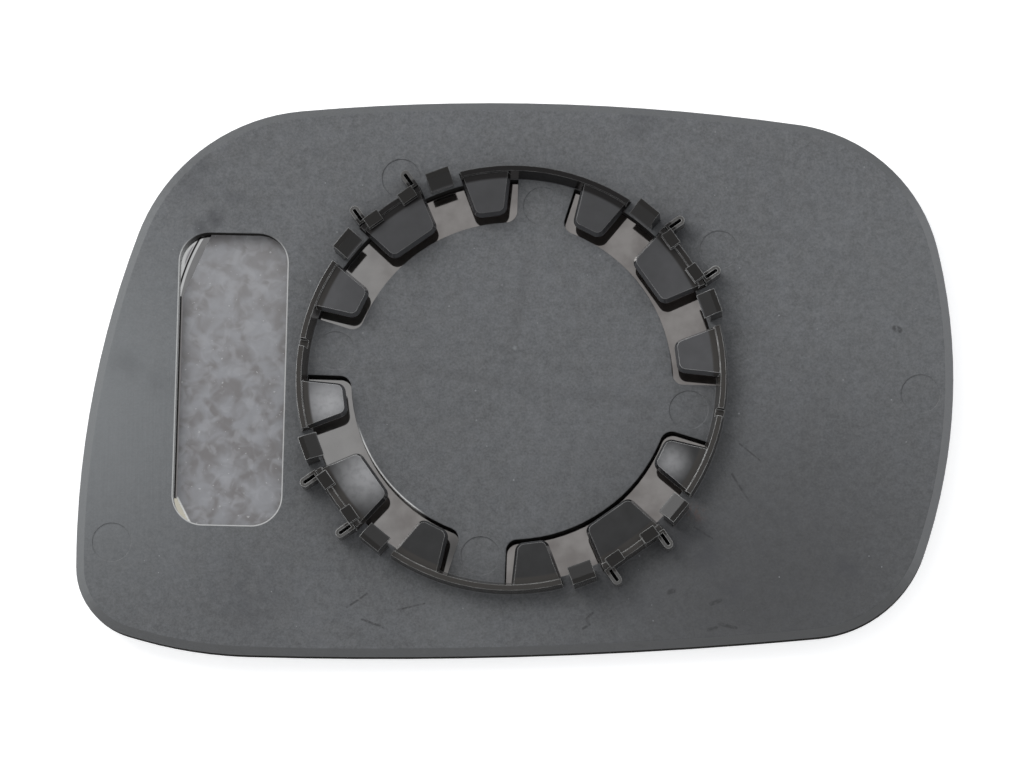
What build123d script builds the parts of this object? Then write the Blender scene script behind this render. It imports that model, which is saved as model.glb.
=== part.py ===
from build123d import *

import os
from math import asin, atan2, cos, degrees, hypot, radians, sin, sqrt

# Outline of the plate seen from behind, as five bowed sides that meet at rounded corners
plate_length = 180.4
plate_height = 115.6
bottom_left_inset_x = 0.6
bottom_left_inset_y = 7.6
slant_end_inset_x = 24.2
slant_end_inset_y = 0.8
bottom_right_inset_x = 13.25
bottom_right_inset_y = 4.9
top_right_inset_x = 10.8
top_right_inset_y = 9.2
top_left_inset_x = 22.4
top_left_inset_y = 4.2
slant_bow = 0.1
bottom_bow = 2.45
right_bow = 11.9
top_bow = 6.5
left_bow = 7.3
bottom_left_round = 14.8
slant_end_round = 90.0
bottom_right_round = 25.2
top_right_round = 34.6
top_left_round = 39.5

# Layers behind the convex mirror face
mirror_radius = 1400.0
glass_thickness = 2.0
glass_edge_chamfer = 0.4
bond_thickness = 0.1
plate_thickness = 3.0
film_thickness = 0.2

# Rim of the plate round the glass
rim_width = 1.5
rim_clearance = 0.3
rim_exposure = 0.5
edge_bevel_width = 1.7
edge_bevel_height = 1.2

# Rounded window beside the ring, and the film that lies behind it
window_end_margin = 20.4
window_ring_gap = 2.35
window_height = 61.0
window_lean = -1.2
window_round = 6.2
film_overlap = 3.0
film_left_gap = 0.6
film_top_cut_width = 6.8
film_top_cut_height = 16.0
film_bottom_cut_width = 4.6
film_bottom_cut_height = 8.7
film_clearance = 0.3

# Clip ring: its axis, and four groups of slots, tongues, hooks, posts and spring seats
ring_x = -0.65
ring_y = -0.6
group_count = 4
group_angle = 35.0
wall_inner_radius = 42.1
wall_thickness = 2.4
wall_inner_slope = 1.0
wall_outer_slope = 0.3
wall_height = 4.4
wall_root = 1.0
slot_inner_radius = 33.1
slot_half_angle = 36.9
slot_round = 2.4
notch_count = 2
notch_width = 1.6
notch_depth = 2.6

# Tongues that carry the actuator's disc, measured above the plate
tongue_top = 4.1
tongue_thickness = 1.9
tongue_draft = 0.6
tongue_root_depth = 1.9
tongue_bend_radius = 39.4
tongue_bend_drop = 0.2
tongue_inner_radius = 34.7
tongue_corner_round = 1.3
middle_tongue_root_width = 14.2
middle_tongue_tip_width = 10.0
side_tongue_angle = 28.0
side_tongue_root_width = 9.9
side_tongue_tip_width = 5.2

# Snap hooks, which bend outwards and close over the disc
hook_angle = 15.4
hook_width = 5.0
hook_gap = 1.8
hook_setback = 0.45
hook_thickness = 2.75
hook_height = 7.6
disc_thickness = 1.8
lip_reach = 1.15
lip_tip = 0.4
lip_ridge_setback = 1.65

# Tall posts at the ends of the middle tongue, with a narrow loop behind each that seats the spring wire
post_start = 2.6
post_width = 3.4
post_height = 5.6
seat_middle = 6.4
seat_height = 5.0
seat_width = 2.0
seat_slot_width = 0.7
seat_reach = 3.5
seat_root = 0.6

# Shallow round marks of the ejector pins, as places on the back of the plate
ejector_radius = 4.0
ejector_depth = 0.15
bridge_mark_radius = 37.0
ejector_places = [(83.3, -4.3), (42.2, 26.3), (-23.5, 41.9), (-82.7, -34.1)]

# How far cutting shapes reach past what they cut
tool_depth = 1.0
dome_margin = 20.0

# Sizes that follow from those above
plate_front = glass_thickness + bond_thickness
plate_back = plate_front + plate_thickness
film_back = plate_front + film_thickness
wall_outer_radius = wall_inner_radius + wall_thickness
ring_base = mirror_radius - sqrt((mirror_radius - plate_back) ** 2 - wall_outer_radius**2)
root_level = ring_base - wall_root
group_step = 360 / group_count
first_bridge_angle = group_angle + group_step / 2
notch_angle = first_bridge_angle + group_step
dome_reach = hypot(plate_length, plate_height) / 2 + dome_margin
dome_sweep = degrees(asin(dome_reach / mirror_radius))
cut_height = plate_back + hook_height + dome_reach**2 / mirror_radius

left_x = -plate_length / 2
right_x = plate_length / 2
bottom_y = -plate_height / 2
top_y = plate_height / 2
bottom_left = (left_x + bottom_left_inset_x, bottom_y + bottom_left_inset_y)
slant_end = (left_x + slant_end_inset_x, bottom_y + slant_end_inset_y)
bottom_right = (right_x - bottom_right_inset_x, bottom_y + bottom_right_inset_y)
top_right = (right_x - top_right_inset_x, top_y - top_right_inset_y)
top_left = (left_x + top_left_inset_x, top_y - top_left_inset_y)

window_left = left_x + window_end_margin
window_right = ring_x - wall_outer_radius - window_ring_gap
window_x = (window_left + window_right) / 2
window_width = window_right - window_left


def drawn_in(arc, share, inset):
    """Point at a share of an arc's length, moved by an inset towards the arc's centre."""
    point = arc @ share
    return point + (arc.arc_center - point).normalized() * inset


def plate_outline(inset):
    """Outline of the plate seen from behind, drawn in by an even inset: five bowed sides, rounded."""
    rounds = (
        (bottom_left, bottom_left_round),
        (slant_end, slant_end_round),
        (bottom_right, bottom_right_round),
        (top_right, top_right_round),
        (top_left, top_left_round),
    )
    with BuildSketch() as full:
        with BuildLine():
            SagittaArc(bottom_left, slant_end, -slant_bow)
            SagittaArc(slant_end, bottom_right, -bottom_bow)
            SagittaArc(bottom_right, top_right, -right_bow)
            SagittaArc(top_right, top_left, -top_bow)
            SagittaArc(top_left, bottom_left, -left_bow)
        make_face()
        for corner, radius in rounds:
            fillet(full.vertices().sort_by_distance(corner)[0], radius)
    with BuildSketch() as outline:
        with BuildLine():
            for arc in full.edges():
                ThreePointArc(drawn_in(arc, 0, inset), drawn_in(arc, 0.5, inset), drawn_in(arc, 1, inset))
        make_face()
    return outline.sketch


def dome_layer(near, far):
    """Piece of a hollow ball between two depths behind the mirror face, larger than the plate."""
    centre = (0, 0, mirror_radius)
    lower_end = Plane(centre, x_dir=(1, 0, 0), z_dir=(0, -1, 0)).rotated((-dome_sweep, 0, 0))
    first_angle = -90 - dome_sweep
    with BuildPart() as layer:
        with BuildSketch(lower_end):
            with BuildLine():
                near_arc = CenterArc((0, 0), mirror_radius - near, first_angle, 2 * dome_sweep)
                far_arc = CenterArc((0, 0), mirror_radius - far, first_angle, 2 * dome_sweep)
                Line(near_arc @ 0, far_arc @ 0)
                Line(near_arc @ 1, far_arc @ 1)
            make_face()
        revolve(axis=Axis(centre, (1, 0, 0)), revolution_arc=2 * dome_sweep)
    return layer.part


def domed_sheet(outline, near, far):
    """Sheet of the given outline between two depths behind the mirror face."""
    with BuildPart() as sheet:
        add(outline)
        extrude(amount=cut_height, both=True)
        add(dome_layer(near, far), mode=Mode.INTERSECT)
    return sheet.part


def window_outline():
    """Rounded window, which leans a little."""
    with BuildSketch() as window:
        with Locations(Location((window_x, 0), window_lean)):
            RectangleRounded(window_width, window_height, window_round)
    return window.sketch


def film_outline(grow):
    """Film with its two left corners cut off, seen just inside the window's left edge."""
    left = film_left_gap - window_width / 2
    right = window_width / 2 + film_overlap
    top = window_height / 2 + film_overlap
    corners = (
        (left, top - film_top_cut_height),
        (left + film_top_cut_width, top),
        (right, top),
        (right, -top),
        (left + film_bottom_cut_width, -top),
        (left, film_bottom_cut_height - top),
    )
    with BuildSketch() as film:
        with Locations(Location((window_x, 0), window_lean)):
            Polygon(*corners, align=None)
        if grow:
            offset(amount=grow, mode=Mode.REPLACE)
    return film.sketch


def ring_sector(inner_radius, outer_radius, start_angle, end_angle):
    """Piece of a flat ring about the ring's axis."""
    sweep = end_angle - start_angle
    with BuildSketch() as sector:
        with BuildLine():
            inner_arc = CenterArc((0, 0), inner_radius, start_angle, sweep)
            outer_arc = CenterArc((0, 0), outer_radius, start_angle, sweep)
            Line(inner_arc @ 0, outer_arc @ 0)
            Line(inner_arc @ 1, outer_arc @ 1)
        make_face()
    return sector.sketch


def slot_outline():
    """Slot under one group, with rounded inner corners."""
    with BuildSketch() as slot:
        add(ring_sector(slot_inner_radius, wall_inner_radius, -slot_half_angle, slot_half_angle))
        inner_corners = slot.vertices().group_by(lambda corner: hypot(corner.X, corner.Y))[0]
        fillet(inner_corners, slot_round)
    return slot.sketch


def hook_bays():
    """Gaps in the ring's wall where the two hooks of a group stand."""
    hook_half = degrees(asin((hook_width / 2 + hook_gap) / wall_inner_radius))
    with BuildSketch() as bays:
        for side in (-1, 1):
            middle = side * hook_angle
            bay = ring_sector(
                wall_inner_radius - tool_depth,
                wall_outer_radius + tool_depth,
                middle - hook_half,
                middle + hook_half,
            )
            add(bay)
    return bays.sketch


def ejector_marks():
    """Round marks on the plate and on the bridges between the slots."""
    with BuildSketch() as marks:
        with Locations(*ejector_places):
            Circle(ejector_radius)
        with Locations((ring_x, ring_y)):
            with PolarLocations(bridge_mark_radius, group_count, start_angle=first_bridge_angle):
                Circle(ejector_radius)
    return marks.sketch


def ring_plane(angle, height):
    """Level plane at a height above the plate, with its X axis pointing out at an angle."""
    turn = radians(angle)
    return Plane((0, 0, ring_base + height), x_dir=(cos(turn), sin(turn), 0), z_dir=(0, 0, 1))


def radial_plane(angle):
    """Upright plane through the ring's axis, with its Y axis along that axis."""
    turn = radians(angle)
    return Plane((0, 0, 0), x_dir=(cos(turn), sin(turn), 0), z_dir=(sin(turn), -cos(turn), 0))


def tongue(angle, root_width, tip_width):
    """Tongue with drafted sides that reaches in over a slot, its top sloping down to the wall."""
    tip = tongue_inner_radius - tongue_draft
    root = wall_inner_radius + tongue_root_depth
    corners = (
        (tip, -tip_width / 2 - tongue_draft),
        (root, -root_width / 2 - tongue_draft),
        (root, root_width / 2 + tongue_draft),
        (tip, tip_width / 2 + tongue_draft),
    )
    top_level = ring_base + tongue_top
    slope = (
        (tongue_bend_radius, top_level),
        (root, top_level - tongue_bend_drop),
        (root, top_level + tool_depth),
        (tongue_bend_radius, top_level + tool_depth),
    )
    with BuildPart() as body:
        with BuildSketch(ring_plane(angle, tongue_top - tongue_thickness)) as outline:
            Polygon(*corners, align=None)
            tip_corners = outline.vertices().sort_by_distance((0, 0))[:2]
            fillet(tip_corners, tongue_corner_round + tongue_draft)
        extrude(amount=tongue_thickness, taper=degrees(atan2(tongue_draft, tongue_thickness)))
        with BuildSketch(radial_plane(angle)):
            Polygon(*slope, align=None)
        extrude(amount=root_width, both=True, mode=Mode.SUBTRACT)
    return body.part


def hook(angle):
    """Snap hook: an upright spring with a lip that slopes in for the disc to slide down."""
    front = wall_inner_radius + hook_setback
    back = front + hook_thickness
    tip = front - lip_reach
    lip_level = ring_base + tongue_top + disc_thickness
    top_level = ring_base + hook_height
    profile = (
        (front, root_level),
        (front, lip_level),
        (tip, lip_level),
        (tip, lip_level + lip_tip),
        (front + lip_ridge_setback, top_level),
        (back, top_level),
        (back, root_level),
    )
    with BuildPart() as body:
        with BuildSketch(radial_plane(angle)):
            Polygon(*profile, align=None)
        extrude(amount=hook_width / 2, both=True)
    return body.part


def post_and_seat(side):
    """Tall post beside the middle tongue, with the spring wire's seat behind it."""
    post_middle = side * (post_start + post_width / 2)
    loop_middle = side * seat_middle
    loop_start = wall_outer_radius - seat_root
    loop_turn = wall_outer_radius + seat_reach - seat_width / 2
    with BuildPart() as body:
        with BuildSketch(Plane.XY.offset(root_level)):
            with Locations((wall_inner_radius + wall_thickness / 2, post_middle)):
                Rectangle(wall_thickness, post_width)
        extrude(amount=wall_root + post_height)
        with BuildSketch(Plane.XY.offset(root_level)):
            with Locations((loop_start, loop_middle)):
                Rectangle(loop_turn - loop_start, seat_width, align=(Align.MIN, Align.CENTER))
            with Locations((loop_turn, loop_middle)):
                Circle(seat_width / 2)
            with Locations((wall_outer_radius, loop_middle)):
                slot_size = (loop_turn - wall_outer_radius, seat_slot_width)
                Rectangle(*slot_size, align=(Align.MIN, Align.CENTER), mode=Mode.SUBTRACT)
            with Locations((loop_turn, loop_middle)):
                Circle(seat_slot_width / 2, mode=Mode.SUBTRACT)
        extrude(amount=wall_root + seat_height)
    return body.part


def wall_profile():
    """Section of the ring's wall, its inner face leaning outwards."""
    top_level = ring_base + wall_height
    return (
        (wall_inner_radius, root_level),
        (wall_inner_radius, ring_base),
        (wall_inner_radius + wall_inner_slope, top_level),
        (wall_outer_radius - wall_outer_slope, top_level),
        (wall_outer_radius, ring_base),
        (wall_outer_radius, root_level),
    )


# Wall of the clip ring about the Z axis, open where the hooks stand, with two notches in its top
with BuildPart() as ring_wall:
    with BuildSketch(radial_plane(0)):
        Polygon(*wall_profile(), align=None)
    revolve(axis=Axis.Z)
    with BuildSketch(Plane.XY.offset(root_level)):
        with PolarLocations(0, group_count, start_angle=group_angle):
            add(hook_bays())
    extrude(amount=wall_root + wall_height + tool_depth, mode=Mode.SUBTRACT)
    with BuildSketch(Plane.XY.offset(ring_base + wall_height - notch_depth)):
        with PolarLocations(wall_inner_radius + wall_thickness / 2, notch_count, start_angle=notch_angle):
            Rectangle(wall_thickness + tool_depth, notch_width)
    extrude(amount=notch_depth + tool_depth, mode=Mode.SUBTRACT)


# One group of the clip ring, with its middle on the X axis
with BuildPart() as clip_group:
    add(tongue(0, middle_tongue_root_width, middle_tongue_tip_width))
    for side in (-1, 1):
        add(tongue(side * side_tongue_angle, side_tongue_root_width, side_tongue_tip_width))
        add(hook(side * hook_angle))
        add(post_and_seat(side))

# Backing plate: curved sheet with a rim, then its openings, then the clip ring
with BuildPart() as backing_plate:
    add(domed_sheet(plate_outline(0), rim_exposure, plate_back))
    back_face = backing_plate.faces().filter_by(GeomType.SPHERE).sort_by(Axis.Z)[-1]
    chamfer(back_face.edges(), edge_bevel_width, edge_bevel_height, reference=back_face)
    add(domed_sheet(plate_outline(rim_width), -tool_depth, plate_front), mode=Mode.SUBTRACT)
    film_pocket = film_outline(film_clearance)
    add(domed_sheet(film_pocket, glass_thickness, film_back + bond_thickness), mode=Mode.SUBTRACT)
    with BuildSketch():
        add(window_outline())
        with Locations((ring_x, ring_y)):
            with PolarLocations(0, group_count, start_angle=group_angle):
                add(slot_outline())
    extrude(amount=cut_height, mode=Mode.SUBTRACT)
    add(domed_sheet(ejector_marks(), plate_back - ejector_depth, plate_back + tool_depth), mode=Mode.SUBTRACT)
    with Locations((ring_x, ring_y)):
        add(ring_wall.part)
        with PolarLocations(0, group_count, start_angle=group_angle):
            add(clip_group.part)
backing_plate.part.label = "backing_plate"

# Convex mirror glass, bonded inside the rim
with BuildPart() as mirror_glass:
    add(domed_sheet(plate_outline(rim_width + rim_clearance), 0, glass_thickness))
    mirror_face = mirror_glass.faces().filter_by(GeomType.SPHERE).sort_by(Axis.Z)[0]
    chamfer(mirror_face.edges(), glass_edge_chamfer)
mirror_glass.part.label = "mirror_glass"

# Film on the back of the glass, in a shallow pocket of the plate
backing_film = domed_sheet(film_outline(0), plate_front, film_back)
backing_film.label = "backing_film"

os.makedirs("parts", exist_ok=True)
export_step(backing_plate.part, "parts/backing_plate.step")
export_step(mirror_glass.part, "parts/mirror_glass.step")
export_step(backing_film, "parts/backing_film.step")
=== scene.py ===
import math
from typing import NamedTuple

import bpy
from mathutils import Matrix, Vector


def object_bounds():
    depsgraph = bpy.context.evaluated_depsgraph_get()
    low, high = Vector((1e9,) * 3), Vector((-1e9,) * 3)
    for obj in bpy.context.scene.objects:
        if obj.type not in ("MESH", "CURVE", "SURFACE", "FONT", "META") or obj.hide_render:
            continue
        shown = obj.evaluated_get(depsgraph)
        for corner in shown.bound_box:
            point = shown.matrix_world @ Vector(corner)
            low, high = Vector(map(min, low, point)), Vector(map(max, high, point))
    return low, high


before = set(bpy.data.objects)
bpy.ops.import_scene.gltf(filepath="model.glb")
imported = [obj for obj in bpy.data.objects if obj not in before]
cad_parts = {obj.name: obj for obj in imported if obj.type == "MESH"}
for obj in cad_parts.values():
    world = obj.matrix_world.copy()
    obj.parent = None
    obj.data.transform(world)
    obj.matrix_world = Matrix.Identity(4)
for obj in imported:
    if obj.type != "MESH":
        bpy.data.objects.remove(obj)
cad_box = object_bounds()


class Mottle(NamedTuple):
    """Noise of a size in millimetres, made 0 where it is under low and 1 where it is over high."""

    size: float
    low: float
    high: float
    detail: float = 2.0
    roughness: float = 0.5
    distortion: float = 0.0


# A pair named FROM tells where a change starts and where it is complete.
# A pair named TONES is what a mottle or a mask has where it is 0 and where it is 1.
# A SHARE is how strongly a layer covers what lies under it.

# Millimetres, in which the materials measure, and the layers behind the convex mirror face
MM = 0.001
MIRROR_RADIUS = 1400.0
GLASS_BACK = 2.0
PLATE_BACK = 5.1

# Camera of the photograph: distance in metres, tilt off the vertical, and where the box's centre lands
IMAGE_WIDTH = 1024
BOX_CENTRE_RIGHT_PX = 2.7
BOX_CENTRE_UP_PX = 7.6
CAMERA_DISTANCE = 1.2
CAMERA_TILT = math.radians(9.5)
CAMERA_TURN = math.radians(14.0)
LENS_MM = 205.0
SENSOR_MM = 36.0
CLIP_START = 0.05

# Dome of light: dim low down, bright half way up, grey overhead, and brighter at the upper left
LOW_BAND = (0.68, 0.68, 0.69, 1.0)
BRIGHT_BAND = (0.98, 1.00, 1.03, 1.0)
BRIGHT_FROM = (0.25, 0.55)
OVERHEAD = (0.48, 0.48, 0.48, 1.0)
OVERHEAD_FROM = (0.70, 0.98)
DOME_LEAN = (-0.12, 0.36, 0.0)

# Near soft lamp at the upper left
KEY_PLACE = (-0.42, 0.36, 0.55)
KEY_SIZE = 0.45
KEY_POWER = 1.9

# Floor, and the glow that makes it white to the eye
FLOOR_WHITE = (0.86, 0.86, 0.86, 1.0)
GLOW_WHITE = (1.0, 1.0, 1.0, 1.0)
FLOOR_GLOW = 0.55
FLOOR_HALF = 6.0

# Clip ring: its middle, the radii of its wall, loops and slots, and the wall's height
RING_MIDDLE = (-0.65, -0.6, 0.0)
WALL_INNER_RADIUS = 42.1
WALL_HEIGHT = 4.5
LOOP_RADIUS = 45.6
SLOT_INNER_RADIUS = 33.1

# Window in the plate: middle, half sizes, corner radius and lean
WINDOW_MIDDLE = (-58.65, 0.0, 0.0)
WINDOW_HALF = (11.15, 30.5)
WINDOW_ROUND = 6.2
WINDOW_LEAN = math.radians(-1.2)

# Film's corners, measured from the window's middle: the lower cut, and the curl of the upper one
FILM_BOTTOM_CUT = ((-10.55, -24.8), (-5.95, -33.5))
CURL_MIDDLE = (27.7, 10.6, 0.0)
CURL_RADIUS = 39.6

# Share of its radius over which a line is full before it fades
LINE_CORE = 0.4

# Rounded edges: radius, rays, and the bend of the normal that counts as an edge
EDGE_RADIUS = 0.28
EDGE_RAYS = 6
EDGE_FROM = (0.04, 0.22)

# Heights over the plate: raised forms, and the depth of its slots against its shallow marks
RAISED_FROM = (0.15, 0.5)
DEEP_FROM = (-0.15, -0.35)
SHALLOW_SHARE = 0.35

# How far a face looks up: slopes and upright walls lie under these, level faces reach LEVEL_FROM
SLOPE_BELOW = 0.93
UPRIGHT_BELOW = 0.4
UNDER_BELOW = -0.5
LEVEL_FROM = (0.85, 0.95)

# Plain plastic of the plate
CLOUDS = Mottle(17.0, 0.30, 0.70, detail=4.0, roughness=0.60)
CLOUD_TONES = ((0.084, 0.088, 0.093, 1.0), (0.102, 0.107, 0.115, 1.0))
PATCHES = Mottle(4.0, 0.30, 0.70, detail=4.0, roughness=0.65)
PATCH_TONE = (0.074, 0.074, 0.073, 1.0)
PATCH_SHARE = 0.6
BLOTCHES = Mottle(1.5, 0.25, 0.75, roughness=0.60)
BLOTCH_TONES = ((0.034, 0.036, 0.038, 1.0), (0.170, 0.172, 0.176, 1.0))
BLOTCH_SHARE = 0.28
GRAIN = Mottle(0.48, 0.25, 0.75, detail=3.0, roughness=0.75)
GRAIN_TONES = ((0.042, 0.043, 0.045, 1.0), (0.164, 0.168, 0.174, 1.0))
GRAIN_SHARE = 0.36
GRAIN_DEPTH = 0.10
GRAIN_STRENGTH = 0.30
PLATE_ROUGH = 0.55
PLATE_GLOSS = 0.5

# Fine upright lines at the plate's left
RIBBED = (-77.0, -15.0)
RIBBED_RADIUS = 26.0
RIB_STRETCH = (2.6, 0.06, 0.0)
RIB_LINES = Mottle(1.0, 0.30, 0.70, detail=1.0)
RIB_TONES = ((0.060, 0.062, 0.064, 1.0), (0.130, 0.134, 0.138, 1.0))
RIB_SHARE = 0.35

# Faint streaks inside the ring: start and end
STREAKS = (
    ((3.4, 28.0), (-1.4, 1.0)),
    ((-24.9, 2.6), (29.0, -6.0)),
)
STREAK_RADIUS = 1.5
STREAK_TONE = (0.050, 0.050, 0.052, 1.0)
STREAK_SHARE = 0.16

# Rusty dusting
DUST = (37.0, -28.5)
DUST_RADIUS = 3.2
DUST_GRAINS = Mottle(0.8, 0.45, 0.60)
DUST_TONE = (0.16, 0.085, 0.070, 1.0)
DUST_SHARE = 0.6

# Painted shade and painted light in broad soft places on the plate, and a few small pale marks: middle,
# radius and strength
PAINTED_SHADE_PLACES = (((52.0, -46.0), 62.0, 0.68),)
PAINTED_SHADE_TONE = (0.034, 0.034, 0.035, 1.0)
PAINTED_LIGHT_AND_PALE_MARKS = (
    ((-96.0, -4.0), 58.0, 0.85),
    ((-13.3, -50.8), 10.0, 0.15),
    ((84.0, 20.0), 40.0, 0.10),
    ((0.0, 6.2), 0.7, 0.80),
)
PAINTED_LIGHT_AND_MARK_TONE = (0.178, 0.187, 0.191, 1.0)

# Painted shade at the plate's lower side and painted light at its upper side
PAINTED_SHADE_TO_LIGHT_FROM = (-50.0, 45.0)
PAINTED_SHADE_TO_LIGHT_LIFT = (0.93, 1.10)

# Dark scratches and nicks on the plate: start, end and half width
SCRATCHES = (
    ((-34.3, -47.6), (-30.2, -44.8), 0.13),
    ((-23.7, -48.1), (-18.5, -46.9), 0.11),
    ((-31.3, -50.1), (-26.8, -51.8), 0.14),
    ((15.9, -49.0), (14.6, -50.3), 0.16),
    ((14.6, -50.3), (15.3, -51.4), 0.16),
    ((15.3, -51.4), (14.0, -52.2), 0.16),
    ((24.1, -55.6), (26.9, -56.0), 0.22),
    ((42.0, -51.5), (45.2, -52.3), 0.22),
    ((40.2, -47.3), (42.0, -46.6), 0.26),
    ((39.6, -52.6), (41.2, -52.2), 0.20),
    ((31.6, -44.8), (32.4, -44.6), 0.32),
    ((78.3, 9.4), (79.1, 9.0), 0.42),
    ((44.6, -20.5), (48.0, -26.0), 0.14),
    ((50.5, -17.8), (46.2, -14.2), 0.10),
    ((36.8, -31.4), (40.5, -33.8), 0.12),
)
SCRATCH_FADE = 2.2
SCRATCH_BREAKS = Mottle(0.8, 0.35, 0.55)
SCRATCH_LEAST = 0.35
SCRATCH_TONE = (0.02, 0.02, 0.021, 1.0)
SCRATCH_SHARE = 0.75

# Soft dark spots on the plate: middle, radius and strength
DARK_SPOTS = (
    ((-66.8, 40.5), 5.5, 0.35),
    ((-64.6, 44.5), 3.5, 0.40),
    ((-62.0, 33.6), 3.5, 0.75),
    ((-64.9, 31.3), 3.0, 0.60),
    ((-58.0, 38.0), 3.0, 0.45),
    ((-80.1, 3.0), 6.0, 0.22),
    ((-73.6, -0.5), 5.0, 0.18),
    ((-54.4, -46.6), 13.0, 0.28),
    ((25.8, 53.4), 6.0, 0.45),
    ((25.8, -46.6), 7.0, 0.25),
    ((35.0, -33.5), 6.0, 0.65),
    ((34.0, 30.5), 6.5, 0.65),
    ((68.0, -40.5), 4.5, 0.65),
    ((39.5, -37.5), 5.0, 0.65),
    ((44.0, -45.0), 4.0, 0.65),
)
DARK_SPOT_BREAKS = Mottle(3.2, 0.25, 0.55, detail=3.0)
DARK_SPOT_TONE = (0.040, 0.041, 0.046, 1.0)

# Light specks: spacing in millimetres, radii as parts of the spacing, and how few of the cells have one
SPECK_SPACING = 2.6
SPECK_RADII = (0.03, 0.075)
SPECK_RARITY = 0.72
SPECK_TONE = (0.30, 0.31, 0.32, 1.0)
SPECK_SHARE = 0.5

# Painted light and shade on the bevel round the plate: tones from left to right, tones from lower to
# upper side, and where they meet
SIDE_SLOPE_PAINTED_LIGHT = ((0.148, 0.153, 0.155, 1.0), (0.172, 0.175, 0.178, 1.0))
END_SLOPE_PAINTED_SHADE = ((0.092, 0.093, 0.094, 1.0), (0.078, 0.081, 0.083, 1.0))
SLOPE_TURN_FROM = (-0.2, 0.2)
SIDEWAYS_FROM = (-0.05, 0.35)
SLOPE_SHARE = 0.75

# Painted shade on the upright walls below the plate's face: round its outline, its slots, its window
# and its shallow marks
SUNK_PAINTED_SHADE = (0.030, 0.029, 0.028, 1.0)

# Places on the ring, from its middle: its upper part, its left and right, and the upper tongues
TOP_FROM = (5.0, 38.0)
BESIDE_FROM = (24.0, 40.0)
UPPER_TONGUES_FROM = (-16.0, -4.0)

# Tongues inside the ring's wall, with painted light on the upper ones and beside and painted shade on
# the lower ones, and the smooth finish of the whole ring
TONGUE_MOTTLE_SIZE = 3.0
TONGUE_MOTTLE_DETAIL = 3.0
UPPER_TONGUE_PAINTED_LIGHT = ((0.036, 0.036, 0.037, 1.0), (0.054, 0.054, 0.057, 1.0))
LOWER_TONGUE_PAINTED_SHADE = ((0.014, 0.014, 0.014, 1.0), (0.030, 0.030, 0.031, 1.0))
BESIDE_PAINTED_LIGHT = 1.5
RING_ROUGH = 0.18

# Painted sheen on the tongues at the lower left and the lower right: middle, radius and strength
PAINTED_SHEENS = (
    ((-37.8, -5.8), 8.0, 0.90),
    ((-30.3, -20.6), 9.5, 0.78),
    ((32.2, -18.4), 5.5, 0.62),
)
PAINTED_SHEEN_BREAKS = Mottle(1.2, 0.30, 0.60, detail=3.0)
PAINTED_SHEEN_LEAST = 0.8
PAINTED_SHEEN_TONE = (0.34, 0.34, 0.345, 1.0)

# Wall of the ring, with painted shade on its upper part and painted light on its lower part, painted
# shade on what stands over it, and the loops outside it
WALL_FROM = (WALL_INNER_RADIUS - 0.8, WALL_INNER_RADIUS - 0.2)
WALL_PAINTED_LIGHT_AND_SHADE = ((0.009, 0.008, 0.008, 1.0), (0.042, 0.039, 0.036, 1.0))
OVER_WALL_FROM = (WALL_HEIGHT + 0.3, WALL_HEIGHT + 0.7)
OVER_WALL_PAINTED_SHADE = (0.016, 0.015, 0.014, 1.0)
LOOP_FROM = (LOOP_RADIUS, LOOP_RADIUS + 0.5)
LOOP_TONE = (0.085, 0.083, 0.080, 1.0)
# Painted light on the ring's underside, where it lies in shade
UNDERSIDE_PAINTED_LIGHT = (0.30, 0.285, 0.27, 1.0)
WALL_GLOSS = 0.26

# Painted highlights on edges: least shares in the mottle, on the ring's upper part and on the plate
HIGHLIGHT_BREAKS = Mottle(2.5, 0.35, 0.65, detail=3.0)
HIGHLIGHT_LEAST = 0.5
HIGHLIGHT_ON_TOP = 0.45
HIGHLIGHT_ON_PLATE = 0.10
HIGHLIGHT_TONES = ((0.42, 0.42, 0.41, 1.0), (0.72, 0.72, 0.71, 1.0))

# Painted highlight on the lower left slot's inner edge: half width and reach from the ring's middle
SLOT_LINE = 0.4
SLOT_LEFT_FROM = (-17.0, -21.0)
SLOT_LOW_FROM = (-8.0, -14.0)
SLOT_HIGHLIGHT_TONE = (0.62, 0.62, 0.61, 1.0)

# Painted highlight round the window: distance outside its edge, half width, and where it ends at the
# top
RIM_OUTSIDE = 0.06
RIM_LINE = 0.24
RIM_END_FROM = (25.5, 30.5)
RIM_HIGHLIGHT_TONE = (0.56, 0.56, 0.55, 1.0)
RIM_SHARE = 0.75

# Mirror in front
MIRROR_TONE = (0.80, 0.82, 0.83, 1.0)
MIRROR_ROUGH = 0.015

# Silvered coat behind: pinkish, lighter at the left, with a place that lies in the shade
BACK_FROM = (GLASS_BACK - 0.6, GLASS_BACK - 0.4)
COAT_CLOUDS = Mottle(5.5, 0.30, 0.70, detail=3.0)
COAT_TONES = ((0.325, 0.305, 0.297, 1.0), (0.455, 0.435, 0.425, 1.0))
COAT_LEFT_FROM = (-20.0, -38.0)
COAT_LEFT_TONE = (0.52, 0.52, 0.52, 1.0)
COAT_LEFT_SHARE = 0.7
COAT_SHADES = (((-12.4, -35.6), 8.5, 0.90),)
COAT_SHADE_TONE = (0.12, 0.12, 0.12, 1.0)
COAT_ROUGH = 0.06

# Bare glass in the window: how far it reaches behind the plate, the painted shade in its gaps, and the
# painted highlights on its edges
WINDOW_REACH = 0.5
GAP_PAINTED_SHADE = (0.02, 0.02, 0.02, 1.0)
EDGE_PAINTED_HIGHLIGHT = (0.96, 0.97, 0.97, 1.0)

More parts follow.
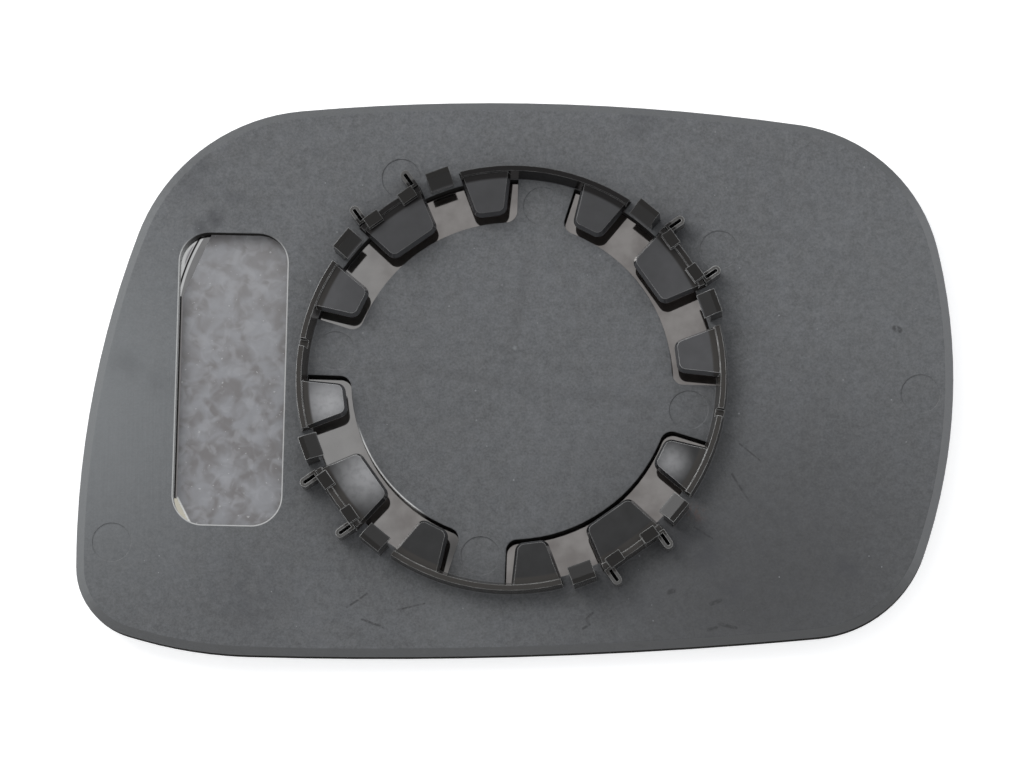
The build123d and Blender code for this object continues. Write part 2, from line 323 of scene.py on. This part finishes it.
# Fan of stripes at the window's upper left, with a painted highlight and painted shade along the film's
# curled edge, and its lifted corner
FAN_LOWEST = 17.5
FAN_STRIPES = Mottle(0.4, 0.35, 0.65, detail=1.0)
FAN_TONES = ((0.42, 0.41, 0.43, 1.0), (0.88, 0.88, 0.88, 1.0))
FAN_EDGE_FROM = (-0.9, -0.6)
CURL_HIGHLIGHT = 0.36
CURL_SHADE = 0.3
CURL_SHADE_OUTSIDE = 0.42
LIFTED_FROM = (-0.15, -0.35)
LIFTED_MOTTLE_SIZE = 2.6
LIFTED_TONES = ((0.31, 0.31, 0.315, 1.0), (0.42, 0.42, 0.425, 1.0))

# Bare strip down the window's left, with painted shade along the window's edge, and the pale corner at
# its lower left
STRIP_EDGE_FROM = (-0.38, -0.22)
STRIP_TONE = (0.36, 0.35, 0.35, 1.0)
LOW_CORNER_TONE = (0.97, 0.93, 0.79, 1.0)

# Film, lighter towards its upper end, with a light edge along its lower cut
FILM_MOTTLE = Mottle(4.2, 0.34, 0.66, distortion=0.5)
FILM_TONES = ((0.168, 0.160, 0.160, 1.0), (0.250, 0.252, 0.264, 1.0))
FILM_PATCHES = Mottle(2.6, 0.46, 0.70, distortion=0.7)
FILM_PATCH_TONE = (0.32, 0.322, 0.335, 1.0)
FILM_PATCH_SHARE = 0.5
FILM_FLECKS = Mottle(0.7, 0.72, 0.78, detail=1.0)
FILM_FLECK_TONE = (0.48, 0.48, 0.48, 1.0)
FILM_FLECK_SHARE = 0.6
FILM_UPPER_FROM = (-10.0, 25.0)
FILM_UPPER_TONE = (0.36, 0.36, 0.365, 1.0)
FILM_UPPER_SHARE = 0.22
FILM_EDGE = 0.5
FILM_EDGE_TONE = (0.85, 0.85, 0.82, 1.0)
FILM_ROUGH = 0.35


class Graph:
    """A node tree and short calls that add to it."""

    def __init__(self, tree):
        self.tree = tree
        tree.nodes.clear()

    def put(self, socket, value):
        if isinstance(value, bpy.types.NodeSocket):
            self.tree.links.new(value, socket)
        else:
            socket.default_value = value

    def add(self, kind, inputs=None, **settings):
        node = self.tree.nodes.new("ShaderNode" + kind)
        for name, value in settings.items():
            setattr(node, name, value)
        for name, value in (inputs or {}).items():
            self.put(node.inputs[name], value)
        return node

    def math(self, operation, first, second=0.0):
        return self.add("Math", {0: first, 1: second}, operation=operation).outputs[0]

    def vector(self, operation, first, second=(0.0, 0.0, 0.0)):
        return self.add("VectorMath", {0: first, 1: second}, operation=operation).outputs[0]

    def dot(self, first, second):
        node = self.add("VectorMath", {0: first, 1: second}, operation="DOT_PRODUCT")
        return node.outputs["Value"]

    def length(self, vector):
        return self.add("VectorMath", {0: vector}, operation="LENGTH").outputs["Value"]

    def scale(self, vector, factor):
        node = self.add("VectorMath", {"Vector": vector, "Scale": factor}, operation="SCALE")
        return node.outputs[0]

    def axes(self, vector):
        """The vector's X, Y and Z by name."""
        return self.add("SeparateXYZ", {"Vector": vector}).outputs

    def product(self, first, *others):
        for other in others:
            first = self.math("MULTIPLY", first, other)
        return first

    def inverse(self, mask):
        return self.math("SUBTRACT", 1.0, mask)

    def mix(self, share, first, second):
        node = self.add("Mix", data_type="RGBA")
        self.put(node.inputs[0], share)
        self.put(node.inputs[6], first)
        self.put(node.inputs[7], second)
        return node.outputs[2]

    def step(self, value, low, high):
        """0 where the value is under low, 1 where it is over high, smooth between."""
        settings = {"Value": value, "From Min": low, "From Max": high}
        return self.add("MapRange", settings, interpolation_type="SMOOTHSTEP").outputs[0]

    def spread(self, mask, low, high):
        """A 0 to 1 mask spread from low to high."""
        return self.add("MapRange", {"Value": mask, "To Min": low, "To Max": high}).outputs[0]

    def noise(self, place, size, detail=2.0, roughness=0.5, distortion=0.0):
        settings = {"Vector": place, "Scale": 1.0 / size, "Detail": detail}
        settings |= {"Roughness": roughness, "Distortion": distortion}
        return self.add("TexNoise", settings).outputs["Fac"]

    def mottle(self, place, kind):
        noise = self.noise(place, kind.size, kind.detail, kind.roughness, kind.distortion)
        return self.step(noise, kind.low, kind.high)

    def place_mm(self):
        """Place on the object in millimetres, in the shared frame."""
        return self.scale(self.add("TexCoord").outputs["Object"], 1.0 / MM)

    def flat(self, place):
        """Place with its height left out."""
        return self.vector("MULTIPLY", place, (1.0, 1.0, 0.0))

    def depth_mm(self, place):
        """Depth behind the convex mirror face."""
        away = self.vector("SUBTRACT", place, (0.0, 0.0, MIRROR_RADIUS))
        return self.math("SUBTRACT", MIRROR_RADIUS, self.length(away))

    def from_line(self, flat_place, start, end):
        """Distance from a line between two places."""
        run = (end[0] - start[0], end[1] - start[1], 0.0)
        arm = self.vector("SUBTRACT", flat_place, (*start, 0.0))
        share = self.math("DIVIDE", self.dot(arm, run), run[0] ** 2 + run[1] ** 2)
        kept = self.add("Clamp", {"Value": share}).outputs[0]
        return self.length(self.vector("SUBTRACT", arm, self.scale(run, kept)))

    def near(self, distance, radius):
        """1 at no distance, 0 from the radius on."""
        return self.inverse(self.step(distance, LINE_CORE * radius, radius))

    def line(self, value, middle, half_width):
        """1 where the value is at the middle, 0 from the half width on."""
        distance = self.math("ABSOLUTE", self.math("SUBTRACT", value, middle))
        return self.near(distance, half_width)

    def spot(self, flat_place, middle, radius):
        """1 in the middle of a round spot, fading to 0 at its radius."""
        arm = self.vector("SUBTRACT", flat_place, (*middle, 0.0))
        return self.inverse(self.step(self.length(arm), 0.0, radius))

    def spots(self, flat_place, places):
        """The strongest of several spots, each with a middle, a radius and a strength."""
        most = 0.0
        for middle, radius, strength in places:
            spot = self.product(self.spot(flat_place, middle, radius), strength)
            most = self.math("MAXIMUM", most, spot)
        return most

    def window_place(self, place):
        """Flat place measured from the window's middle, along its lean."""
        shifted = self.vector("SUBTRACT", self.flat(place), WINDOW_MIDDLE)
        turn = {"Vector": shifted, "Angle": -WINDOW_LEAN}
        return self.add("VectorRotate", turn, rotation_type="Z_AXIS").outputs[0]

    def from_window(self, turned):
        """Distance outside the window's edge, under 0 inside it."""
        corner = (WINDOW_HALF[0] - WINDOW_ROUND, WINDOW_HALF[1] - WINDOW_ROUND, 0.0)
        past = self.vector("SUBTRACT", self.vector("ABSOLUTE", turned), corner)
        outside = self.vector("MAXIMUM", past)
        return self.math("SUBTRACT", self.length(outside), WINDOW_ROUND)

    def true_normal(self):
        return self.add("NewGeometry").outputs["True Normal"]

    def soft_edge(self):
        """Normal that is rounded at the edges, and how much an edge bends it."""
        rounded = self.add("Bevel", {"Radius": EDGE_RADIUS * MM}, samples=EDGE_RAYS).outputs["Normal"]
        bend = self.inverse(self.dot(rounded, self.true_normal()))
        return rounded, self.step(bend, *EDGE_FROM)


class RingPlace:
    """Where a flat place lies on the clip ring."""

    def __init__(self, graph, flat):
        arm = graph.vector("SUBTRACT", flat, RING_MIDDLE)
        axes = graph.axes(arm)
        self.reach = graph.length(arm)
        self.across = axes["X"]
        self.up = axes["Y"]
        self.outer = graph.step(self.reach, *WALL_FROM)
        self.lower = graph.inverse(graph.step(self.up, *TOP_FROM))
        self.beside = graph.step(graph.math("ABSOLUTE", self.across), *BESIDE_FROM)


def new_material(name):
    material = bpy.data.materials.new(name)
    material.use_nodes = True
    return material, Graph(material.node_tree)


def finish_material(graph, shader):
    graph.add("OutputMaterial", {"Surface": shader.outputs[0]})


def plate_ground(graph, place, flat, grain):
    """Plain plastic of the plate: clouds, patches, blotches, grain and fine upright lines."""
    tone = graph.mix(graph.mottle(place, CLOUDS), *CLOUD_TONES)
    patches = graph.spread(graph.mottle(place, PATCHES), 0.0, PATCH_SHARE)
    tone = graph.mix(patches, tone, PATCH_TONE)
    blotches = graph.mix(graph.mottle(place, BLOTCHES), *BLOTCH_TONES)
    tone = graph.mix(BLOTCH_SHARE, tone, blotches)
    tone = graph.mix(GRAIN_SHARE, tone, graph.mix(grain, *GRAIN_TONES))
    stretched = graph.vector("MULTIPLY", place, RIB_STRETCH)
    lines = graph.mix(graph.mottle(stretched, RIB_LINES), *RIB_TONES)
    ribbed = graph.product(graph.spot(flat, RIBBED, RIBBED_RADIUS), RIB_SHARE)
    return graph.mix(ribbed, tone, lines)


def plate_places(graph, place, flat, tone):
    """Streaks, a rusty dusting, painted shade and painted light in broad places with a few small pale
    marks, and painted light towards the upper side.
    """
    for start, end in STREAKS:
        streak = graph.near(graph.from_line(flat, start, end), STREAK_RADIUS)
        tone = graph.mix(graph.product(streak, STREAK_SHARE), tone, STREAK_TONE)
    grains = graph.mottle(place, DUST_GRAINS)
    dust = graph.product(graph.spot(flat, DUST, DUST_RADIUS), grains, DUST_SHARE)
    tone = graph.mix(dust, tone, DUST_TONE)
    # Painted shade and painted light in broad places, with a few small pale marks
    tone = graph.mix(graph.spots(flat, PAINTED_SHADE_PLACES), tone, PAINTED_SHADE_TONE)
    tone = graph.mix(graph.spots(flat, PAINTED_LIGHT_AND_PALE_MARKS), tone, PAINTED_LIGHT_AND_MARK_TONE)
    # Painted shade low on the plate and painted light towards its upper side
    upper = graph.step(graph.axes(flat)["Y"], *PAINTED_SHADE_TO_LIGHT_FROM)
    return graph.scale(tone, graph.spread(upper, *PAINTED_SHADE_TO_LIGHT_LIFT))


def plate_marks(graph, place, flat, tone):
    """Broken scratches, uneven dark spots and light specks."""
    scratches = 0.0
    for start, end, half_width in SCRATCHES:
        scratch = graph.near(graph.from_line(flat, start, end), SCRATCH_FADE * half_width)
        scratches = graph.math("MAXIMUM", scratches, scratch)
    broken = graph.spread(graph.mottle(place, SCRATCH_BREAKS), SCRATCH_LEAST, 1.0)
    tone = graph.mix(graph.product(scratches, broken, SCRATCH_SHARE), tone, SCRATCH_TONE)
    dark_spot_mask = graph.product(graph.spots(flat, DARK_SPOTS), graph.mottle(place, DARK_SPOT_BREAKS))
    tone = graph.mix(dark_spot_mask, tone, DARK_SPOT_TONE)
    cells = graph.add("TexVoronoi", {"Vector": place, "Scale": 1.0 / SPECK_SPACING}).outputs
    pick = graph.add("SeparateColor", {"Color": cells["Color"]}).outputs
    inside = graph.math("LESS_THAN", cells["Distance"], graph.spread(pick[1], *SPECK_RADII))
    chosen = graph.math("GREATER_THAN", pick[0], SPECK_RARITY)
    return graph.mix(graph.product(inside, chosen, SPECK_SHARE), tone, SPECK_TONE)


def plate_slope_painted_light(graph, normal, on_plate, tone):
    """Bevel round the plate, with painted light at its left and right and painted shade along its long
    sides.
    """
    sloped = graph.math("LESS_THAN", normal["Z"], SLOPE_BELOW)
    bevel = graph.product(sloped, graph.math("GREATER_THAN", normal["Z"], UPRIGHT_BELOW), on_plate)
    sides = graph.mix(graph.step(normal["X"], *SLOPE_TURN_FROM), *SIDE_SLOPE_PAINTED_LIGHT)
    ends = graph.mix(graph.step(normal["Y"], *SLOPE_TURN_FROM), *END_SLOPE_PAINTED_SHADE)
    across = graph.math("ABSOLUTE", normal["X"])
    sideways = graph.math("SUBTRACT", across, graph.math("ABSOLUTE", normal["Y"]))
    slope = graph.mix(graph.step(sideways, *SIDEWAYS_FROM), ends, sides)
    return graph.mix(graph.product(bevel, SLOPE_SHARE), tone, slope)


def tongue_tone(graph, place, flat, facing, ring):
    """Tongues inside the ring's wall: grey, with painted light on the upper ones and at the sides,
    painted shade low down, and a painted sheen on some level faces.
    """
    mottle = graph.noise(place, TONGUE_MOTTLE_SIZE, TONGUE_MOTTLE_DETAIL)
    # Painted light on the upper tongues and at the sides, painted shade on the lower ones
    upper = graph.mix(mottle, *UPPER_TONGUE_PAINTED_LIGHT)
    upper = graph.scale(upper, graph.spread(ring.beside, 1.0, BESIDE_PAINTED_LIGHT))
    lower = graph.mix(mottle, *LOWER_TONGUE_PAINTED_SHADE)
    tone = graph.mix(graph.step(ring.up, *UPPER_TONGUES_FROM), lower, upper)
    broken = graph.spread(graph.mottle(place, PAINTED_SHEEN_BREAKS), PAINTED_SHEEN_LEAST, 1.0)
    # Painted sheen on some level faces of the tongues
    painted_sheen = graph.product(graph.spots(flat, PAINTED_SHEENS), graph.step(facing, *LEVEL_FROM), broken)
    return graph.mix(painted_sheen, tone, PAINTED_SHEEN_TONE)


def wall_tone(graph, height, ring):
    """Wall of the ring, with painted shade on its upper part, painted light on its lower part, painted
    shade on the forms that stand over it, and the grey loops outside it.
    """
    tone = graph.mix(ring.lower, *WALL_PAINTED_LIGHT_AND_SHADE)
    tone = graph.mix(graph.step(height, *OVER_WALL_FROM), tone, OVER_WALL_PAINTED_SHADE)
    return graph.mix(graph.step(ring.reach, *LOOP_FROM), tone, LOOP_TONE)


def ring_tone(graph, place, flat, height, facing, ring):
    """Smooth plastic of the ring, with painted light where it looks down."""
    tongue = tongue_tone(graph, place, flat, facing, ring)
    tone = graph.mix(ring.outer, tongue, wall_tone(graph, height, ring))
    return graph.mix(graph.math("LESS_THAN", facing, UNDER_BELOW), tone, UNDERSIDE_PAINTED_LIGHT)


def painted_edge_highlights(graph, place, edge, raised, ring, tone):
    """Painted highlights on edges, most of all low on the ring and at its left and right."""
    highlight_breaks = graph.spread(graph.mottle(place, HIGHLIGHT_BREAKS), HIGHLIGHT_LEAST, 1.0)
    around = graph.spread(graph.math("MAXIMUM", ring.lower, ring.beside), HIGHLIGHT_ON_TOP, 1.0)
    painted_highlight = graph.product(edge, highlight_breaks, around, graph.spread(raised, HIGHLIGHT_ON_PLATE, 1.0))
    return graph.mix(painted_highlight, tone, graph.mix(ring.beside, *HIGHLIGHT_TONES))


def painted_highlight_lines(graph, place, on_plate, ring, tone):
    """Painted highlights along the lower left slot's inner edge and round the window."""
    slot = graph.line(ring.reach, SLOT_INNER_RADIUS, SLOT_LINE)
    left = graph.step(ring.across, *SLOT_LEFT_FROM)
    low = graph.step(ring.up, *SLOT_LOW_FROM)
    tone = graph.mix(graph.product(slot, left, low, on_plate), tone, SLOT_HIGHLIGHT_TONE)
    turned = graph.window_place(place)
    rim = graph.line(graph.from_window(turned), RIM_OUTSIDE, RIM_LINE)
    fading = graph.spread(graph.step(graph.axes(turned)["Y"], *RIM_END_FROM), RIM_SHARE, 0.0)
    return graph.mix(graph.product(rim, fading), tone, RIM_HIGHLIGHT_TONE)


def plate_material():
    """Dark grey moulded plastic: grained on the plate, smooth on the ring."""
    material, graph = new_material("moulded_plastic")
    place = graph.place_mm()
    flat = graph.flat(place)
    height = graph.math("SUBTRACT", graph.depth_mm(place), PLATE_BACK)
    raised = graph.step(height, *RAISED_FROM)
    on_plate = graph.inverse(raised)
    normal = graph.axes(graph.true_normal())
    upright = graph.math("LESS_THAN", graph.math("ABSOLUTE", normal["Z"]), UPRIGHT_BELOW)
    deep = graph.spread(graph.step(height, *DEEP_FROM), SHALLOW_SHARE, 1.0)
    # Painted shade on upright walls below the plate's face, weaker on the shallow marks
    sunk_shade = graph.product(upright, on_plate, deep)
    rounded, edge = graph.soft_edge()
    grain = graph.mottle(place, GRAIN)
    ring = RingPlace(graph, flat)

    tone = plate_ground(graph, place, flat, grain)
    tone = plate_places(graph, place, flat, tone)
    tone = plate_marks(graph, place, flat, tone)
    tone = plate_slope_painted_light(graph, normal, on_plate, tone)
    tone = graph.mix(sunk_shade, tone, SUNK_PAINTED_SHADE)
    tone = graph.mix(raised, tone, ring_tone(graph, place, flat, height, normal["Z"], ring))
    tone = painted_edge_highlights(graph, place, edge, raised, ring, tone)
    tone = painted_highlight_lines(graph, place, on_plate, ring, tone)

    gloss = graph.spread(graph.product(raised, ring.outer), PLATE_GLOSS, WALL_GLOSS)
    relief = {"Height": graph.product(grain, on_plate), "Normal": rounded}
    relief |= {"Strength": GRAIN_STRENGTH, "Distance": GRAIN_DEPTH * MM}
    finish = {
        "Base Color": tone,
        "Roughness": graph.spread(raised, PLATE_ROUGH, RING_ROUGH),
        "Specular IOR Level": graph.product(gloss, graph.inverse(sunk_shade)),
        "Normal": graph.add("Bump", relief).outputs[0],
    }
    finish_material(graph, graph.add("BsdfPrincipled", finish))
    return material


def coat_tone(graph, place):
    """Silvered coat on the glass's back."""
    tone = graph.mix(graph.mottle(place, COAT_CLOUDS), *COAT_TONES)
    left = graph.step(graph.axes(place)["X"], *COAT_LEFT_FROM)
    tone = graph.mix(graph.spread(left, 0.0, COAT_LEFT_SHARE), tone, COAT_LEFT_TONE)
    return graph.mix(graph.spots(graph.flat(place), COAT_SHADES), tone, COAT_SHADE_TONE)


def fan_tone(graph, place, turned, edge):
    """Striped fan at the window's upper left, with a painted highlight at its edge, and the film's
    curled edge across it with a painted highlight and painted shade.
    """
    arm = graph.vector("SUBTRACT", turned, CURL_MIDDLE)
    curl = graph.math("SUBTRACT", graph.length(arm), CURL_RADIUS)
    across = graph.add("CombineXYZ", {"X": curl}).outputs[0]
    tone = graph.mix(graph.mottle(across, FAN_STRIPES), *FAN_TONES)
    tone = graph.mix(graph.step(edge, *FAN_EDGE_FROM), tone, EDGE_PAINTED_HIGHLIGHT)
    tone = graph.mix(graph.line(curl, CURL_SHADE_OUTSIDE, CURL_SHADE), tone, GAP_PAINTED_SHADE)
    tone = graph.mix(graph.line(curl, 0.0, CURL_HIGHLIGHT), tone, EDGE_PAINTED_HIGHLIGHT)
    lifted = graph.mix(graph.noise(place, LIFTED_MOTTLE_SIZE), *LIFTED_TONES)
    return graph.mix(graph.step(curl, *LIFTED_FROM), tone, lifted)


def bare_tone(graph, place, turned, edge):
    """Glass that the film leaves bare in the window: the fan, a strip with painted shade along its
    edge, and a pale corner.
    """
    rise = graph.axes(turned)["Y"]
    tone = graph.mix(graph.step(edge, *STRIP_EDGE_FROM), STRIP_TONE, GAP_PAINTED_SHADE)
    above = graph.math("GREATER_THAN", rise, FAN_LOWEST)
    tone = graph.mix(above, tone, fan_tone(graph, place, turned, edge))
    below = graph.math("LESS_THAN", rise, FILM_BOTTOM_CUT[0][1])
    return graph.mix(below, tone, LOW_CORNER_TONE)


def mirror_material():
    """Mirror glass: a clear mirror in front, and the silvered coat behind."""
    material, graph = new_material("mirror")
    place = graph.place_mm()
    turned = graph.window_place(place)
    edge = graph.from_window(turned)
    behind = graph.step(graph.depth_mm(place), *BACK_FROM)
    in_window = graph.math("LESS_THAN", edge, WINDOW_REACH)
    back = graph.mix(in_window, coat_tone(graph, place), bare_tone(graph, place, turned, edge))
    finish = {
        "Base Color": graph.mix(behind, MIRROR_TONE, back),
        "Roughness": graph.spread(behind, MIRROR_ROUGH, COAT_ROUGH),
        "Metallic": 1.0,
    }
    finish_material(graph, graph.add("BsdfPrincipled", finish))
    return material


def film_material():
    """Thin grey film, mottled by the adhesive behind it."""
    material, graph = new_material("mottled_film")
    place = graph.place_mm()
    turned = graph.window_place(place)
    tone = graph.mix(graph.mottle(place, FILM_MOTTLE), *FILM_TONES)
    patches = graph.product(graph.mottle(place, FILM_PATCHES), FILM_PATCH_SHARE)
    tone = graph.mix(patches, tone, FILM_PATCH_TONE)
    flecks = graph.product(graph.mottle(place, FILM_FLECKS), FILM_FLECK_SHARE)
    tone = graph.mix(flecks, tone, FILM_FLECK_TONE)
    upper = graph.step(graph.axes(turned)["Y"], *FILM_UPPER_FROM)
    tone = graph.mix(graph.spread(upper, 0.0, FILM_UPPER_SHARE), tone, FILM_UPPER_TONE)
    edge = graph.near(graph.from_line(turned, *FILM_BOTTOM_CUT), FILM_EDGE)
    tone = graph.mix(edge, tone, FILM_EDGE_TONE)
    finish_material(graph, graph.add("BsdfPrincipled", {"Base Color": tone, "Roughness": FILM_ROUGH}))
    return material


def floor_material():
    """White floor with the object's shadow. A look from below goes through it."""
    material, graph = new_material("white_floor")
    rays = graph.add("LightPath").outputs
    mirrored = graph.math("MAXIMUM", rays["Is Glossy Ray"], rays["Is Transmission Ray"])
    seen = graph.math("MAXIMUM", rays["Is Camera Ray"], mirrored)
    # The glow is there for the eye alone, so light that a matt surface scattered doesn't meet it
    unscattered = graph.math("LESS_THAN", rays["Diffuse Depth"], 1.0)
    strength = graph.product(seen, unscattered, FLOOR_GLOW)
    matt = graph.add("BsdfDiffuse", {"Color": FLOOR_WHITE})
    glow = graph.add("Emission", {"Color": GLOW_WHITE, "Strength": strength})
    lit = graph.add("AddShader", {0: matt.outputs[0], 1: glow.outputs[0]})
    clear = graph.add("BsdfTransparent")
    from_below = graph.add("NewGeometry").outputs["Backfacing"]
    sided = graph.add("MixShader", {0: from_below, 1: lit.outputs[0], 2: clear.outputs[0]})
    finish_material(graph, sided)
    return material


def make_floor():
    corners = [(-FLOOR_HALF, -FLOOR_HALF, 0), (FLOOR_HALF, -FLOOR_HALF, 0)]
    corners += [(FLOOR_HALF, FLOOR_HALF, 0), (-FLOOR_HALF, FLOOR_HALF, 0)]
    mesh = bpy.data.meshes.new("floor")
    mesh.from_pydata(corners, [], [(0, 1, 2, 3)])
    floor = bpy.data.objects.new("floor", mesh)
    bpy.context.scene.collection.objects.link(floor)
    floor.data.materials.append(floor_material())


def make_world():
    """Dome of light, grey overhead where the camera hangs."""
    world = bpy.data.worlds.new("dome")
    bpy.context.scene.world = world
    world.use_nodes = True
    graph = Graph(world.node_tree)
    direction = graph.add("TexCoord").outputs["Generated"]
    rise = graph.axes(direction)["Z"]
    colour = graph.mix(graph.step(rise, *BRIGHT_FROM), LOW_BAND, BRIGHT_BAND)
    colour = graph.scale(colour, graph.math("ADD", 1.0, graph.dot(direction, DOME_LEAN)))
    colour = graph.mix(graph.step(rise, *OVERHEAD_FROM), colour, OVERHEAD)
    background = graph.add("Background", {"Color": colour})
    graph.add("OutputWorld", {"Surface": background.outputs[0]})


def make_lamp(name, place, power, size):
    """Soft round lamp that shines at the object."""
    lamp = bpy.data.lights.new(name, "AREA")
    lamp.shape = "DISK"
    lamp.size = size
    lamp.energy = power
    holder = bpy.data.objects.new(name, lamp)
    bpy.context.scene.collection.objects.link(holder)
    holder.location = place
    holder.rotation_mode = "QUATERNION"
    holder.rotation_quaternion = (-Vector(place)).to_track_quat("-Z", "Y")


def make_camera():
    """Camera of the photograph, nearly overhead and turned a little."""
    low, high = cad_box
    middle = (low + high) / 2
    away = Vector(
        (
            math.sin(CAMERA_TILT) * math.sin(CAMERA_TURN),
            -math.sin(CAMERA_TILT) * math.cos(CAMERA_TURN),
            math.cos(CAMERA_TILT),
        )
    )
    right = Vector((0, 1, 0)).cross(away).normalized()
    up = away.cross(right)
    metres_per_pixel = CAMERA_DISTANCE * SENSOR_MM / LENS_MM / IMAGE_WIDTH
    target = middle - (right * BOX_CENTRE_RIGHT_PX + up * BOX_CENTRE_UP_PX) * metres_per_pixel
    data = bpy.data.cameras.new("camera")
    data.lens = LENS_MM
    data.sensor_width = SENSOR_MM
    data.clip_start = CLIP_START
    camera = bpy.data.objects.new("camera", data)
    bpy.context.scene.collection.objects.link(camera)
    turn = Matrix((right, up, away)).transposed().to_4x4()
    camera.matrix_world = Matrix.Translation(target + away * CAMERA_DISTANCE) @ turn
    bpy.context.scene.camera = camera


def dress(node, material):
    """Gives a solid's surfaces their material."""
    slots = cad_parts[node].data.materials
    slots.clear()
    slots.append(material)


dress("backing_plate", plate_material())
dress("mirror_glass", mirror_material())
dress("backing_film", film_material())
make_floor()
make_world()
make_lamp("key", KEY_PLACE, KEY_POWER, KEY_SIZE)
make_camera()
bpy.context.scene.view_settings.view_transform = "Standard"
